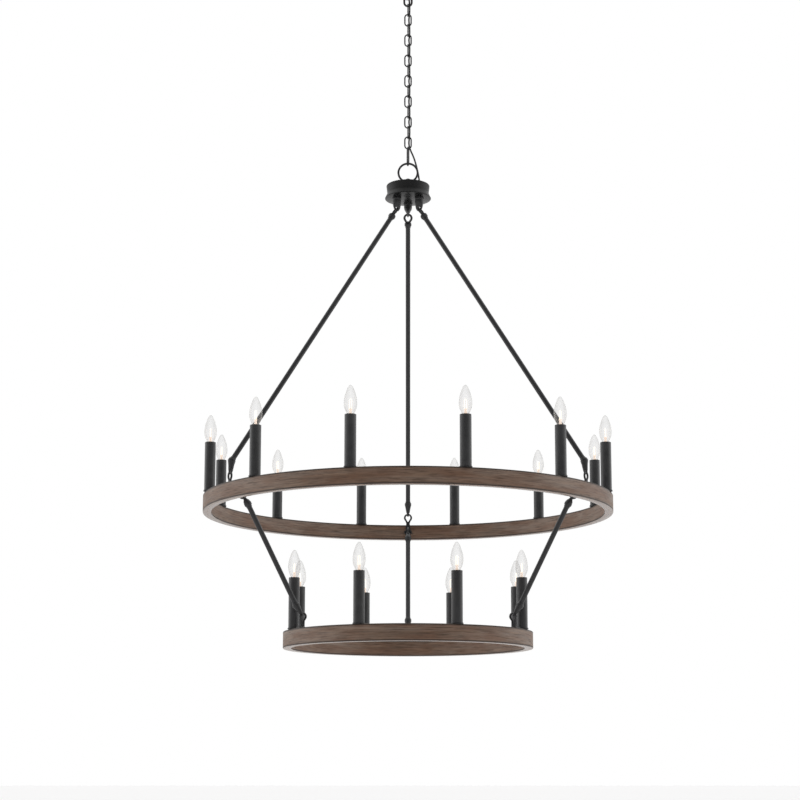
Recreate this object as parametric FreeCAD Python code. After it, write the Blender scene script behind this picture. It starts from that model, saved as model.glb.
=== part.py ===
import FreeCAD
import Part
import math
import os

Vec = FreeCAD.Vector

# Two-tier wagon wheel chandelier, in millimetres.
# z = 0 is the ceiling, the fixture hangs down along -z, and -y faces the viewer.

# Ceiling fitting: a crossbar on the outlet box, a nipple, and a screw-collar loop through the canopy.
crossbar_length = 105.0
crossbar_width = 19.0
crossbar_thickness = 2.5
box_screw_spacing = 80.0
box_slot_length = 20.0
box_slot_width = 5.0
ground_screw_radius = 2.1
ground_screw_head_radius = 4.2
ground_screw_offset = 18.0
nipple_radius = 4.9
nipple_bore_radius = 3.4
nipple_length = 27.0
lock_nut_across_flats = 16.0
lock_nut_thickness = 4.0
canopy_radius = 65.0
canopy_depth = 29.0
canopy_wall = 1.2
canopy_shoulder = 14.0
collar_height = 7.0
collar_wall = 5.0
loop_thread_radius = 13.5
loop_thread_length = 22.0
loop_wire_radius = 2.75
loop_inner_width = 15.0
loop_inner_height = 20.0
loop_throat_radius = 6.5
thread_clearance = 0.2

# Chain: oval links, every other one turned a quarter, and one long link at the bottom.
link_count = 14
link_wire_radius = 1.9
link_inner_length = 29.5
long_link_inner_length = 47.2
link_gap = 0.3

# Supply cord: up from the hub, from side to side through every face-on link, and into the canopy loop.
cord_radius = 2.3
cord_clearance = 0.1
cord_weave = 1.6
cord_entry_x = 31.0
cord_entry_y = 6.5
cord_end_above_loop = 30.0

# Hanger ring and hub.
hanger_ring_radius = 25.8
hanger_wire_radius = 2.8
boss_radius = 7.5
boss_height = 20.0
boss_dome = 4.0
ring_seat_above_hub = 10.8
hub_radius = 58.0
hub_neck_radius = 0.962 * hub_radius
hub_flare_radius = 1.064 * hub_radius
hub_drum_height = 22.0
hub_flare_height = 14.0
hub_wall = 1.5
plate_edge = 1.2
plate_crown = 4.0
bushing_flange_radius = 6.5
bushing_flange_height = 2.0
bushing_radius = 4.4
bushing_length = 7.0

# Lugs under the hub, one above each rod.
lug_circle_radius = 34.5
lug_top_radius = 9.5
lug_reach = 39.3
lug_hole_radius = 4.6
lug_hole_above_tip = 8.5
lug_tip_thickness = 4.6

# Rods and their end fittings: a forged collar with a wire eye.
rod_radius = 6.35
collar_radius = 9.4
fitting_collar_height = 12.0
eye_wire_radius = 2.6
eye_radius = 11.2
eye_gap = 0.3
top_eye_reach = 31.0
bottom_eye_reach = 33.0
bottom_eye_lean = 4.0
stations = {"left": -60.0, "right": 60.0, "back": 180.0}

# Rings and candles.
upper_ring_diameter = 1067.0
lower_ring_diameter = 645.4
ring_thickness = 22.0
ring_height = 42.0
hub_to_upper_ring = 854.0
ring_to_ring = 349.0
upper_candle_count = 12
lower_candle_count = 8
candle_height_upper = 127.0
candle_height_lower = 131.0
sleeve_radius = 13.9
sleeve_wall = 1.6
cup_radius = sleeve_radius + 1.7
cup_height = 4.0
socket_radius = 0.77 * (sleeve_radius - sleeve_wall)
socket_bore_radius = 6.4
socket_height = 98.0
cap_radius = 6.0
cap_length = 19.0
bulb_seat_below_sleeve = 7.0
bulb_outline = [(6.2, 0.0), (9.0, 10.0), (16.2, 26.0), (16.6, 37.0), (10.4, 57.0), (0.0, 77.7)]

# Ring brackets: a curved plate on the ring's inner face, with wire loops.
bracket_width = 16.0
bracket_thickness = 3.0
bracket_ear_width = 27.0
bracket_ear_height = 11.0
bracket_rise = 10.0
loop_radius = 11.0
hook_loop_radius = 10.5
hook_loop_reach = 29.0
lower_loop_radius = 8.0
lower_bracket_rise = 23.0
lower_loop_rise = 30.0
bracket_screw_radius = 1.9
bracket_screw_head = 3.4
bracket_screw_length = 12.0
lower_rod_top_drop = 46.0
lower_rod_top_inset = 52.0
lower_rod_bottom_rise = 57.0
lower_rod_bottom_outset = 22.8

# How finely the small repeated pieces are faceted.
wire_sides = 6
bend_steps = 4
eye_steps = 8
eye_bends = 7
turned_sides = 8
sleeve_sides = 10
fine_sides = 16
spun_sides = 32
ring_sides = 96
hidden_sides = 6

# The cord passes beside a link's wire on one side and inside its neighbour's on the other.
cord_beside_chain = link_wire_radius + cord_radius + cord_clearance
link_inner_width = 2 * (cord_beside_chain + cord_radius + cord_clearance)

# Heights, worked down from the ceiling.
loop_thread_top = -canopy_depth + 5.0
loop_thread_bottom = loop_thread_top - loop_thread_length
loop_inner_bottom = loop_thread_bottom - loop_inner_height
link_pitch = link_inner_length - link_gap
chain_top = loop_inner_bottom + link_gap + 2 * link_wire_radius
long_link_top = chain_top - link_count * link_pitch
long_link_inner_bottom = long_link_top - 2 * link_wire_radius - long_link_inner_length
ring_wire_top = long_link_inner_bottom + link_gap + hanger_wire_radius
hanger_ring_z = ring_wire_top - hanger_ring_radius
ring_wire_bottom = hanger_ring_z - hanger_ring_radius
hub_top = ring_wire_bottom - ring_seat_above_hub
hub_neck_z = hub_top - hub_drum_height
hub_plate_top = hub_neck_z - hub_flare_height
lug_tip = hub_plate_top - plate_edge - lug_reach
lug_hole_z = lug_tip + lug_hole_above_tip
upper_ring_top = hub_top - hub_to_upper_ring
upper_ring_bottom = upper_ring_top - ring_height
lower_ring_top = upper_ring_top - ring_to_ring
lower_ring_bottom = lower_ring_top - ring_height
upper_inner_radius = upper_ring_diameter / 2 - ring_thickness
lower_inner_radius = lower_ring_diameter / 2 - ring_thickness

nodes = {}


def outward(angle):
    """Unit vector away from the chain, at an angle from the viewer's side."""
    a = math.radians(angle)
    return Vec(math.sin(a), -math.cos(a), 0)


def sideways(angle):
    """Unit vector along the rings, at right angles to outward()."""
    a = math.radians(angle)
    return Vec(math.cos(a), math.sin(a), 0)


def at(radius, angle, z):
    return outward(angle) * radius + Vec(0, 0, z)


def closed_solid(faces):
    solid = Part.Solid(Part.Shell(faces))
    if solid.Volume < 0:
        solid.reverse()
    return solid


def flat_face(points):
    return Part.Face(Part.makePolygon(points + points[:1]))


def patch(points):
    """One flat face, or two triangles where four corners are out of plane."""
    if len(points) == 4:
        normal = (points[1] - points[0]).cross(points[2] - points[0]).normalize()
        if abs(normal.dot(points[3] - points[0])) > 1e-6:
            return [flat_face(points[:3]), flat_face([points[0], points[2], points[3]])]
    return [flat_face(points)]


def skin(rings, closed):
    """Faces between rings of points. A ring of one point is a tip."""
    faces = []
    count = len(rings)
    for i in range(count if closed else count - 1):
        a, b = rings[i], rings[(i + 1) % count]
        sides = max(len(a), len(b))
        for k in range(sides):
            n = (k + 1) % sides
            corners = [a[k % len(a)], a[n % len(a)], b[n % len(b)], b[k % len(b)]]
            if len(a) == 1:
                corners = corners[1:]
            if len(b) == 1:
                corners = corners[:3]
            faces += patch(corners)
    if not closed:
        faces += [flat_face(ring) for ring in (rings[0], rings[-1]) if len(ring) > 1]
    return closed_solid(faces)


def turned(outline, sides=turned_sides, hollow=False):
    """A piece turned about z from (radius, height) points. A hollow outline closes on itself."""
    rings = []
    for radius, z in outline:
        steps = sides if radius > 0 else 1
        ring = [Vec(radius, 0, 0)] * steps
        for k in range(steps):
            a = 2 * math.pi * (k + 0.5) / sides
            ring[k] = Vec(radius * math.cos(a), radius * math.sin(a), z)
        rings.append(ring)
    return skin(rings, hollow)


def bent_wire(points, normal, radius, closed=False):
    """A round wire along a flat path, mitred at each point."""
    rings = []
    count = len(points)
    for i, point in enumerate(points):
        before = points[i - 1] if closed or i > 0 else None
        after = points[(i + 1) % count] if closed or i < count - 1 else None
        into = (point - before).normalize() if before is not None else None
        out = (after - point).normalize() if after is not None else None
        into, out = into or out, out or into
        along = (into + out).normalize()
        stretch = 1 / max(along.dot(out), 0.3)
        side = along.cross(normal).normalize()
        ring = []
        for k in range(wire_sides):
            a = 2 * math.pi * (k + 0.5) / wire_sides
            ring.append(point + normal * (radius * math.cos(a)) + side * (radius * stretch * math.sin(a)))
        rings.append(ring)
    return skin(rings, closed)


def oval_path(centre, side, inner_length, inner_width, wire_radius):
    """Centre line of an upright chain link whose width runs along side."""
    bend = inner_width / 2 + wire_radius
    straight = inner_length / 2 + wire_radius - bend
    points = []
    for end in (1, -1):
        for i in range(bend_steps + 1):
            a = math.pi * i / bend_steps
            points.append(centre + side * (end * bend * math.cos(a)) + Vec(0, 0, end * (straight + bend * math.sin(a))))
    return points


def chain_link(top, facing, inner_length):
    """A link by the top of its wire. facing 0 lies across the view, 90 lies along it."""
    centre = Vec(0, 0, top - 2 * link_wire_radius - inner_length / 2)
    side = sideways(facing)
    path = oval_path(centre, side, inner_length, link_inner_width, link_wire_radius)
    return bent_wire(path, side.cross(Vec(0, 0, 1)), link_wire_radius, closed=True)


def wire_circle(centre, u, v, radius, wire_radius, steps=eye_steps):
    """A closed ring of wire in the plane of u and v."""
    corner = radius / math.cos(math.pi / steps)
    path = []
    for i in range(steps):
        a = 2 * math.pi * (i + 0.5) / steps
        path.append(centre + u * (corner * math.cos(a)) + v * (corner * math.sin(a)))
    return bent_wire(path, u.cross(v), wire_radius, closed=True)


def aimed(shape, base, direction):
    """A piece made along z, moved to base and turned towards direction."""
    shape = shape.copy()
    shape.Placement = FreeCAD.Placement(base, FreeCAD.Rotation(Vec(0, 0, 1), direction))
    return shape


def ceiling_fitting():
    bar = Part.makeBox(crossbar_length, crossbar_width, crossbar_thickness,
                       Vec(-crossbar_length / 2, -crossbar_width / 2, -crossbar_thickness))
    depth = crossbar_thickness + 2
    cuts = [turned([(nipple_radius + 0.1, -depth), (nipple_radius + 0.1, 1.0)], sides=fine_sides)]
    half = box_slot_width / 2
    for x in (-box_screw_spacing / 2, box_screw_spacing / 2):
        run = box_slot_length / 2 - half
        cuts.append(Part.makeBox(2 * run, box_slot_width, depth, Vec(x - run, -half, -depth + 1)))
        cuts += [Part.makeCylinder(half, depth, Vec(x + end * run, 0, -depth + 1)) for end in (-1, 1)]
    screw_hole_cut = turned([(ground_screw_radius + 0.1, -depth), (ground_screw_radius + 0.1, 1.0)])
    cuts.append(screw_hole_cut.translated(Vec(-ground_screw_offset, 0, 0)))
    for cut in cuts:
        bar = bar.cut(cut)
    nodes["ceiling_crossbar"] = bar

    under = crossbar_thickness
    ground = turned([(ground_screw_radius, 0.0), (ground_screw_radius, under), (ground_screw_head_radius, under),
                     (ground_screw_head_radius * 0.6, under + 2.0)])
    nodes["ground_screw"] = aimed(ground, Vec(-ground_screw_offset, 0, 0), Vec(0, 0, -1))

    nodes["threaded_nipple"] = turned(
        [(nipple_bore_radius, -nipple_length), (nipple_radius, -nipple_length), (nipple_radius, 0.0),
         (nipple_bore_radius, 0.0)], sides=fine_sides, hollow=True)
    nut_top = -crossbar_thickness
    nut = turned([(lock_nut_across_flats / math.sqrt(3), nut_top - lock_nut_thickness),
                  (lock_nut_across_flats / math.sqrt(3), nut_top)], sides=6)
    nodes["lock_nut"] = nut.cut(turned([(nipple_radius + 0.1, -20.0), (nipple_radius + 0.1, 5.0)], sides=fine_sides))


def canopy_and_loop():
    hole = loop_thread_radius + thread_clearance
    rim, slope = canopy_radius, canopy_shoulder
    outer = [(rim, 0.0), (rim, -3.0), (rim - slope * 0.4, -canopy_depth * 0.55), (rim - slope * 1.3, -canopy_depth * 0.9),
             (rim - slope * 2, -canopy_depth), (hole, -canopy_depth)]
    inner = [(radius - canopy_wall * 0.8, z + canopy_wall * 0.8) for radius, z in reversed(outer[1:-1])]
    inner = [(hole, -canopy_depth + canopy_wall)] + inner + [(rim - canopy_wall, 0.0)]
    nodes["ceiling_canopy"] = turned(outer + inner, sides=spun_sides, hollow=True)
    top = -canopy_depth
    wide = hole + collar_wall
    nodes["canopy_collar"] = turned(
        [(hole, top), (wide - 1.2, top), (wide, top - 1.2), (wide, top - collar_height + 1.2),
         (wide - 1.2, top - collar_height), (hole, top - collar_height)], sides=24, hollow=True)

    body = turned([(loop_thread_radius, loop_thread_bottom), (loop_thread_radius, loop_thread_top)], sides=24)
    bend = loop_inner_width / 2 + loop_wire_radius
    leg = loop_inner_height - loop_inner_width / 2
    path = [Vec(-bend, 0, loop_thread_bottom + 2.0)]
    for i in range(2 * bend_steps + 1):
        a = math.pi + math.pi * i / (2 * bend_steps)
        path.append(Vec(bend * math.cos(a), 0, loop_thread_bottom - leg + bend * math.sin(a)))
    path.append(Vec(bend, 0, loop_thread_bottom + 2.0))
    loop = body.fuse(bent_wire(path, Vec(0, -1, 0), loop_wire_radius))
    low, high = loop_thread_bottom, loop_thread_top
    throat = turned([(loop_throat_radius, low - 1.0), (loop_throat_radius, low + 11.0)], sides=fine_sides)
    bore = turned([(nipple_bore_radius, low), (nipple_bore_radius, high)], sides=fine_sides)
    socket = turned([(nipple_radius + 0.1, -nipple_length - 0.2), (nipple_radius + 0.1, high + 1.0)], sides=fine_sides)
    nodes["canopy_loop"] = loop.cut(throat).cut(bore).cut(socket)


def chain_and_cord():
    nodes["top_link"] = chain_link(chain_top, 90, link_inner_length)
    nodes["chain_links"] = Part.makeCompound(
        [chain_link(chain_top - i * link_pitch, 90 * ((i + 1) % 2), link_inner_length) for i in range(1, link_count)])
    nodes["long_link"] = chain_link(long_link_top, 90, long_link_inner_length)

    # The cord stays beside the chain and changes sides in the open middle of each face-on link.
    from_hub = [Vec(cord_entry_x, cord_entry_y, hub_top + 4), Vec(cord_entry_x, cord_entry_y, hub_top + 29),
                Vec(cord_entry_x * 0.7, cord_entry_y, hub_top + 74)]
    beside = cord_beside_chain
    weave = []
    side = cord_beside_chain + cord_weave
    for i in range(link_count - 1, 0, -2):
        middle = chain_top - i * link_pitch - link_inner_length / 2 - 2 * link_wire_radius
        weave.append(Vec(beside, side, middle - link_pitch / 2))
        side = -side
        weave.append(Vec(beside, side, middle + link_pitch / 2))
    over_loop = loop_inner_bottom + 2 * link_wire_radius
    to_canopy = [Vec(beside, side, over_loop - 4), Vec(beside * 0.6, side * 0.2, over_loop + 14),
                 Vec(0, 0, over_loop + 24), Vec(0, 0, loop_inner_bottom + cord_end_above_loop + 14)]
    low = (weave[0] + from_hub[-1]) * 0.5
    high = (weave[-1] + to_canopy[0]) * 0.5
    nodes["cord_at_hub"] = cord(from_hub + [low])
    nodes["cord_in_chain"] = cord([low] + weave + [high])
    nodes["cord_at_canopy"] = cord([high] + to_canopy)


def cord(points):
    """A tube of straight runs joined by tangent arcs. Prints its length and tightest arc."""
    edges = []
    radii = []
    start = points[0]
    for i in range(1, len(points) - 1):
        into = points[i] - points[i - 1]
        out = points[i + 1] - points[i]
        half = into.getAngle(out) / 2
        if half < 0.01:
            continue
        reach = 0.45 * min(into.Length, out.Length)
        radii.append(reach / math.tan(half))
        into.normalize()
        out.normalize()
        a = points[i] - into * reach
        b = points[i] + out * reach
        middle = points[i] + (out - into).normalize() * (radii[-1] * (1 / math.cos(half) - 1))
        edges += [Part.LineSegment(start, a).toShape(), Part.Arc(a, middle, b).toShape()]
        start = b
    edges.append(Part.LineSegment(start, points[-1]).toShape())
    path = Part.Wire(edges)
    along = (points[1] - points[0]).normalize()
    side = Vec(0, 1, 0)
    across = along.cross(side).normalize()
    side = across.cross(along)
    turns = [k * math.pi / 3 for k in range(6)]
    rim = [points[0] + (side * math.cos(a) + across * math.sin(a)) * cord_radius for a in turns]
    tube = path.makePipeShell([Part.makePolygon(rim + rim[:1])], True, False)
    print(f"cord: length {path.Length:.1f}, tightest arc {min(radii):.1f}")
    return tube


def hub():
    nodes["hanger_ring"] = wire_circle(Vec(0, 0, hanger_ring_z), Vec(1, 0, 0), Vec(0, 0, 1),
                                       hanger_ring_radius, hanger_wire_radius, steps=20)
    boss = turned([(boss_radius, 0.0), (boss_radius, boss_height - boss_dome), (boss_radius * 0.6, boss_height - 1.0),
                   (0.0, boss_height)], sides=16)
    boss.translate(Vec(0, 0, hub_top))
    sag = boss_radius ** 2 / (2 * hanger_ring_radius)
    bore = hanger_wire_radius + sag + 0.3
    nodes["ring_boss"] = boss.cut(
        Part.makeCylinder(bore, 4 * boss_radius, Vec(-2 * boss_radius, 0, ring_wire_bottom), Vec(1, 0, 0)))

    wall = hub_wall
    crown = hub_top - wall
    housing = turned(
        [(0.0, hub_top), (hub_radius - 1.5, hub_top), (hub_radius, hub_top - 1.5), (hub_neck_radius, hub_neck_z),
         (hub_flare_radius, hub_plate_top), (hub_flare_radius - wall, hub_plate_top),
         (hub_neck_radius - wall, hub_neck_z - wall / 2), (hub_radius - wall - 0.5, crown), (0.0, crown)],
        sides=spun_sides)
    x, y = cord_entry_x, cord_entry_y
    hole = turned([(bushing_radius + 0.1, hub_top - 5.0), (bushing_radius + 0.1, hub_top + 5.0)], sides=fine_sides)
    housing = housing.cut(hole.translated(Vec(x, y, 0)))
    nodes["hub_housing"] = housing
    inside = cord_radius + 0.2
    bushing = turned([(inside, -bushing_length + bushing_flange_height), (bushing_radius, -bushing_length + bushing_flange_height),
                      (bushing_radius, 0.0), (bushing_flange_radius, 0.0),
                      (bushing_flange_radius - 1.0, bushing_flange_height), (inside, bushing_flange_height)],
                     sides=12, hollow=True)
    bushing.translate(Vec(x, y, hub_top))
    nodes["cord_bushing"] = bushing

    edge = hub_plate_top - plate_edge
    plate = turned([(0.0, hub_plate_top), (hub_flare_radius, hub_plate_top), (hub_flare_radius, edge),
                    (hub_flare_radius * 0.62, edge - plate_crown * 0.75), (0.0, edge - plate_crown)],
                   sides=spun_sides)
    nodes["hub_plate"] = plate
    for name, angle in stations.items():
        nodes[f"hub_lug_{name}"] = lug(angle).cut(plate)


def lug(angle):
    """Round where it meets the plate, thinning to a flat tip with a cross hole for the rod's eye."""
    u, v = outward(angle), sideways(angle)
    top = hub_plate_top - plate_edge
    sections = [(lug_top_radius * 1.25, lug_top_radius * 1.25, 0.0), (lug_top_radius * 1.25, lug_top_radius * 1.25, 7.0),
                (lug_top_radius, lug_top_radius * 0.95, 9.0), (lug_top_radius, lug_top_radius * 0.7, lug_reach * 0.5),
                (lug_top_radius, lug_tip_thickness / 2, lug_reach - lug_hole_above_tip),
                (lug_top_radius * 0.5, lug_tip_thickness / 2 * 0.8, lug_reach)]
    rings = []
    for along, across, drop in sections:
        centre = at(lug_circle_radius, angle, top - drop)
        ring = []
        for k in range(turned_sides):
            a = 2 * math.pi * (k + 0.5) / turned_sides
            ring.append(centre + u * (along * math.cos(a)) + v * (across * math.sin(a)))
        rings.append(ring)
    solid = skin(rings, False)
    corner = lug_hole_radius / math.cos(math.pi / turned_sides)
    hole = turned([(corner, -20.0), (corner, 20.0)])
    return solid.cut(aimed(hole, at(lug_circle_radius, angle, lug_hole_z), v))


def end_fitting(pin, collar, rod_direction, normal):
    """A collar on the rod's end and the wire eye from it round the pin point, in the plane at right angles to normal."""
    up = (collar - pin).normalize()
    side = up.cross(normal).normalize()
    centre = pin + up * eye_radius
    neck = math.radians(30)
    sweep = (math.pi + 2 * neck) / eye_bends
    corner = eye_radius / math.cos(sweep / 2)
    path = [collar + side * 2.0]
    for i in range(eye_bends + 1):
        a = neck - sweep * i
        path.append(centre + side * (corner * math.cos(a)) + up * (corner * math.sin(a)))
    path.append(collar - side * 2.0)
    half = fitting_collar_height / 2
    barrel = turned([(rod_radius + 0.6, -half), (collar_radius, -half / 2), (collar_radius, half / 2), (rod_radius, half)])
    return bent_wire(path, side.cross(up), eye_wire_radius).fuse(aimed(barrel, collar, rod_direction * -1))


def rod_between(a, b):
    """The plain rod between two collars, butting on each."""
    way = (b - a).normalize()
    half = fitting_collar_height / 2
    rod = turned([(rod_radius, half), (rod_radius, (b - a).Length - half)], sides=fine_sides)
    return aimed(rod, a, way)


def rods():
    for name, angle in stations.items():
        v = sideways(angle)
        # upper rod: eye through the lug's hole, and an eye through the upper bracket's loop
        pin_a = at(lug_circle_radius, angle, lug_hole_z - lug_hole_radius + eye_wire_radius + eye_gap)
        pin_b = at(bracket_loop_radius(), angle, bracket_loop_top() - 2 * eye_wire_radius - eye_gap)
        collar_b = pin_b + Vec(0, 0, bottom_eye_reach) - outward(angle) * bottom_eye_lean
        way = (collar_b - pin_a).normalize()
        collar_a = pin_a + way * top_eye_reach
        flat = v
        nodes[f"upper_rod_{name}"] = rod_between(collar_a, collar_b)
        nodes[f"upper_rod_top_eye_{name}"] = end_fitting(pin_a, collar_a, way * -1, way.cross(flat))
        nodes[f"upper_rod_bottom_eye_{name}"] = end_fitting(pin_b, collar_b, way, v)

        # lower rod: eye in the loop inside the upper ring, and an eye in the lower ring's loop
        pin_c = hook_loop_centre(angle) - Vec(0, 0, hook_loop_radius - 2 * eye_wire_radius - eye_gap)
        collar_c = at(upper_inner_radius - lower_rod_top_inset, angle, upper_ring_top - lower_rod_top_drop)
        pin_d = lower_loop_centre(angle) + Vec(0, 0, lower_loop_radius - 2 * eye_wire_radius - eye_gap)
        collar_d = at(lower_inner_radius + lower_rod_bottom_outset, angle, lower_ring_top + lower_rod_bottom_rise)
        way = (collar_d - collar_c).normalize()
        nodes[f"lower_rod_{name}"] = rod_between(collar_c, collar_d)
        nodes[f"lower_rod_top_eye_{name}"] = end_fitting(pin_c, collar_c, way * -1, (collar_c - pin_c).normalize().cross(v))
        nodes[f"lower_rod_bottom_eye_{name}"] = end_fitting(pin_d, collar_d, way, (collar_d - pin_d).normalize().cross(v))


def bracket_loop_radius():
    return bracket_back(upper_inner_radius) - bracket_thickness / 2


def bracket_loop_top():
    return upper_ring_top + bracket_rise + 2 * loop_radius


def hook_loop_centre(angle):
    return at(upper_inner_radius - hook_loop_reach, angle, upper_ring_top - ring_height * 0.55)


def lower_loop_centre(angle):
    return at(lower_inner_radius + 3, angle, lower_ring_top + lower_loop_rise)


def bracket_back(inner_radius):
    """How far out a bracket's flat back lies: its ears' edges clear the ring by a third of a millimetre."""
    return inner_radius - bracket_ear_width ** 2 / (8 * inner_radius) - 0.3


def bracket_plate(angle, inner_radius, bottom, top, top_width):
    """A strap on the ring's inner face, with an ear each side for a screw."""
    v = sideways(angle)
    base = at(bracket_back(inner_radius) - bracket_thickness, angle, 0)
    middle = bottom + ring_height * 0.45
    ear_low, ear_high = middle - bracket_ear_height / 2, middle + bracket_ear_height / 2
    strap, ear, tip = bracket_width / 2, bracket_ear_width / 2, top_width / 2
    half = [(strap, bottom), (strap, ear_low), (ear, ear_low), (ear, ear_high), (strap, ear_high), (tip, top)]
    outline = [base + v * x + Vec(0, 0, z) for x, z in half]
    outline += [base - v * x + Vec(0, 0, z) for x, z in reversed(half)]
    return flat_face(outline).extrude(outward(angle) * bracket_thickness)


def screw_places(angle, inner_radius, ring_bottom):
    """Where the two screws enter a bracket's face."""
    spread = (bracket_width + bracket_ear_width) / 4
    middle = at(bracket_back(inner_radius) - bracket_thickness, angle, ring_bottom + 2 + ring_height * 0.45)
    return [middle + sideways(angle) * (end * spread) for end in (-1, 1)]


def bracket_screw(place, angle):
    shank, head = bracket_screw_radius, bracket_screw_head
    outline = [(head * 0.6, -1.8), (head, 0.0), (shank, 0.0), (shank, bracket_screw_length)]
    return aimed(turned(outline, sides=hidden_sides), place, outward(angle))


def screw_hole(place, angle):
    radius = bracket_screw_radius + 0.12
    outline = [(radius, -5.0), (radius, bracket_screw_length + 0.3)]
    return aimed(turned(outline, sides=hidden_sides), place, outward(angle))


def rings_and_brackets():
    up = Vec(0, 0, 1)
    tiers = {"upper": (upper_ring_diameter, upper_ring_bottom, bracket_rise, 11.0),
             "lower": (lower_ring_diameter, lower_ring_bottom, lower_bracket_rise, 8.0)}
    for tier, (diameter, bottom, rise, top_width) in tiers.items():
        inner = diameter / 2 - ring_thickness
        outer, top = diameter / 2, bottom + ring_height
        ring = turned([(inner, bottom), (outer, bottom), (outer, top), (inner, top)], sides=ring_sides, hollow=True)
        screws = []
        for name, angle in stations.items():
            u, v = outward(angle), sideways(angle)
            plate = bracket_plate(angle, inner, bottom + 2, bottom + ring_height + rise, top_width)
            for place in screw_places(angle, inner, bottom):
                screws.append(bracket_screw(place, angle))
                hole = screw_hole(place, angle)
                plate = plate.cut(hole)
                ring = ring.cut(hole)
            if tier == "upper":
                top_loop = at(bracket_loop_radius(), angle, bracket_loop_top() - loop_radius)
                hook = hook_loop_centre(angle)
                stem = turned([(eye_wire_radius + 0.6, hook_loop_radius), (eye_wire_radius + 0.6, hook_loop_reach - 2.0)])
                loops = [wire_circle(top_loop, v, up, loop_radius, eye_wire_radius),
                         wire_circle(hook, u, up, hook_loop_radius, eye_wire_radius), aimed(stem, hook, u)]
            else:
                loops = [wire_circle(lower_loop_centre(angle), u, up, lower_loop_radius, eye_wire_radius)]
            nodes[f"{tier}_bracket_{name}"] = plate.fuse(loops)
        nodes[f"{tier}_ring"] = ring
        nodes[f"{tier}_bracket_screws"] = Part.makeCompound(screws)


def candles(tier, count, ring_diameter, ring_top, height):
    """One candle's pieces, copied round the ring. The first stands half a step from the viewer's side."""
    sleeve_inside = sleeve_radius - sleeve_wall
    bulb_seat = height - bulb_seat_below_sleeve
    cap_foot = bulb_seat - cap_length
    socket_top = cap_foot + 14.0
    pieces = {
        "candle_cups": turned([(cup_radius, 0.0), (cup_radius, cup_height)], sides=sleeve_sides),
        "candle_sleeves": turned([(sleeve_inside, cup_height), (sleeve_radius, cup_height), (sleeve_radius, height),
                                  (sleeve_inside, height)], sides=sleeve_sides, hollow=True),
        "lamp_sockets": turned([(socket_radius, cup_height), (socket_radius, socket_top), (socket_bore_radius, socket_top),
                                (socket_bore_radius, cap_foot)], sides=hidden_sides),
        "bulb_caps": turned([(cap_radius, cap_foot + 0.3), (cap_radius, bulb_seat)], sides=hidden_sides),
        "bulb_glasses": turned([(r, bulb_seat + z) for r, z in bulb_outline]),
    }
    for piece, solid in pieces.items():
        copies = []
        for i in range(count):
            copy = solid.copy()
            copy.translate(at((ring_diameter - ring_thickness) / 2, 360 * (i + 0.5) / count, ring_top))
            copies.append(copy)
        nodes[f"{tier}_{piece}"] = Part.makeCompound(copies)


ceiling_fitting()
canopy_and_loop()
chain_and_cord()
hub()
rods()
rings_and_brackets()
candles("upper", upper_candle_count, upper_ring_diameter, upper_ring_top, candle_height_upper)
candles("lower", lower_candle_count, lower_ring_diameter, lower_ring_top, candle_height_lower)

os.makedirs("parts", exist_ok=True)
for name, shape in nodes.items():
    shape.exportStep(f"parts/{name}.step")
print(len(nodes), "nodes, lowest point", round(lower_ring_bottom, 1))
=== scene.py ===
import bpy
import math
from mathutils import Matrix, Vector


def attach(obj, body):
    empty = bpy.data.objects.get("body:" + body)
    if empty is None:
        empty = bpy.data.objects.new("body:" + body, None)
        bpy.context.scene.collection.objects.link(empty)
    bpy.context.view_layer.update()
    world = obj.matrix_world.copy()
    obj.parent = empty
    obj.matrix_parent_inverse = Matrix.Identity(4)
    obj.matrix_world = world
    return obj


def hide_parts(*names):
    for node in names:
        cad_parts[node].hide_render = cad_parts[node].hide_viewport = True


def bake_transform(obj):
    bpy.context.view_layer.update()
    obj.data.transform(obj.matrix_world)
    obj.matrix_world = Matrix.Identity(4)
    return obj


# Two-tier wagon wheel chandelier, modelled in millimetres. A piece is scaled to metres when it is settled.
# The ceiling is z = 0 and the viewer stands on the -y side. What belongs to a rod is modelled on that side,
# then copied round to the three stations

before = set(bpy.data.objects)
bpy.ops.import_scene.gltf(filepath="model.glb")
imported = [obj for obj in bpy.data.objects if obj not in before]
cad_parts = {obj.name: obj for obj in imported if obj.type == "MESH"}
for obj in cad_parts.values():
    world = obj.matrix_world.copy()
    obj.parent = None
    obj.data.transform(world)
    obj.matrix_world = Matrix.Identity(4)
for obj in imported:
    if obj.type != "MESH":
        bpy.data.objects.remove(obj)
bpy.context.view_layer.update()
stations = {"left": -60, "right": 60, "back": 180}  # degrees round from the viewer's side
print("frame loaded")


def pick(*pieces):
    bpy.ops.object.select_all(action="DESELECT")
    for piece in pieces:
        piece.select_set(True)
    bpy.context.view_layer.objects.active = pieces[0]
    return pieces[0]


def applyPlace(piece):
    pick(piece)
    bpy.ops.object.transform_apply(location=True, rotation=True, scale=True)
    return piece


def putAt(piece, place):
    piece.location = place
    return applyPlace(piece)


def aim(piece, base, up, side=(1, 0, 0)):
    # stands a piece made along z on base, its z along up and its x as near to side as it can be
    up = Vector(up).normalized()
    normal = up.cross(Vector(side)).normalized()
    turn = Matrix((normal.cross(up), normal, up)).transposed().to_4x4()
    piece.matrix_world = Matrix.Translation(base) @ turn
    return applyPlace(piece)


def duplicate(piece, name, move=(0, 0, 0), turn=0):
    pick(piece)
    bpy.ops.object.duplicate()
    copy = bpy.context.object
    copy.name = name
    copy.rotation_euler = (0, 0, math.radians(turn))
    copy.location = move
    return applyPlace(copy)


def join(name, pieces):
    pick(*pieces)
    bpy.ops.object.join()
    bpy.context.object.name = name
    return bpy.context.object


def discard(*pieces):
    for piece in pieces:
        bpy.data.objects.remove(piece)


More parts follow.
